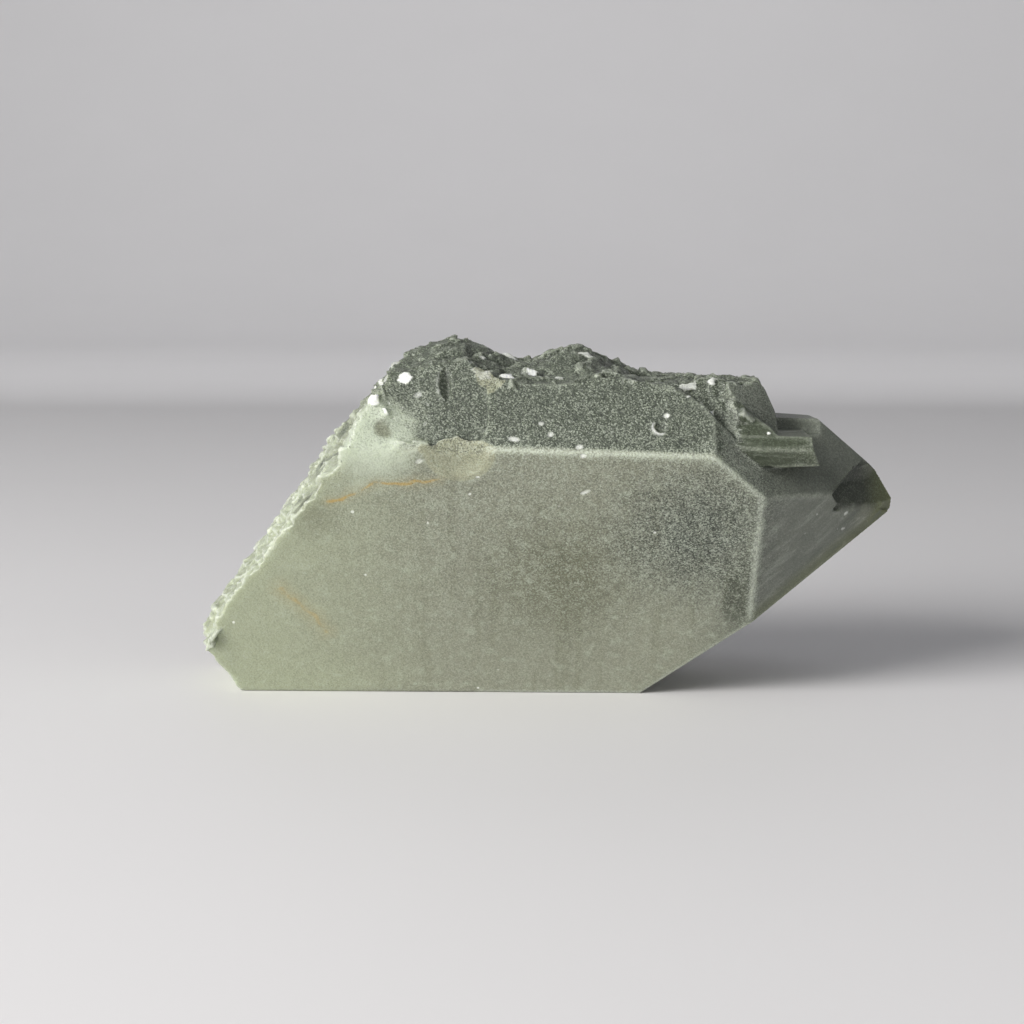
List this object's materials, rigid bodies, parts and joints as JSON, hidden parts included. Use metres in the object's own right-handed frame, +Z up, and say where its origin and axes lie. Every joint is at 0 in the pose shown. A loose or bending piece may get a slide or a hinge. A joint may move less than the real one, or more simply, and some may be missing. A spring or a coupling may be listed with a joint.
{
  "type": "chlorite quartz crystal",
  "caption": "Broken quartz crystal clouded grey-green with chlorite: flat prism faces, a slanting point, a rough snapped end and a weathered top, lying on one long face.",
  "frame": {"origin": "centre of the footprint's box, on the flat prism face that the crystal rests on", "axes": "+Z up, +X along the crystal towards its point, -Y towards the large flat front face"},
  "size_m": [0.0812, 0.0398, 0.0408],
  "materials": {
    "chlorite_quartz": "frosted, nearly opaque, grey-green"
  },
  "bodies": {
    "root": {"crystal": "chlorite_quartz"}
  },
  "joints": []
}
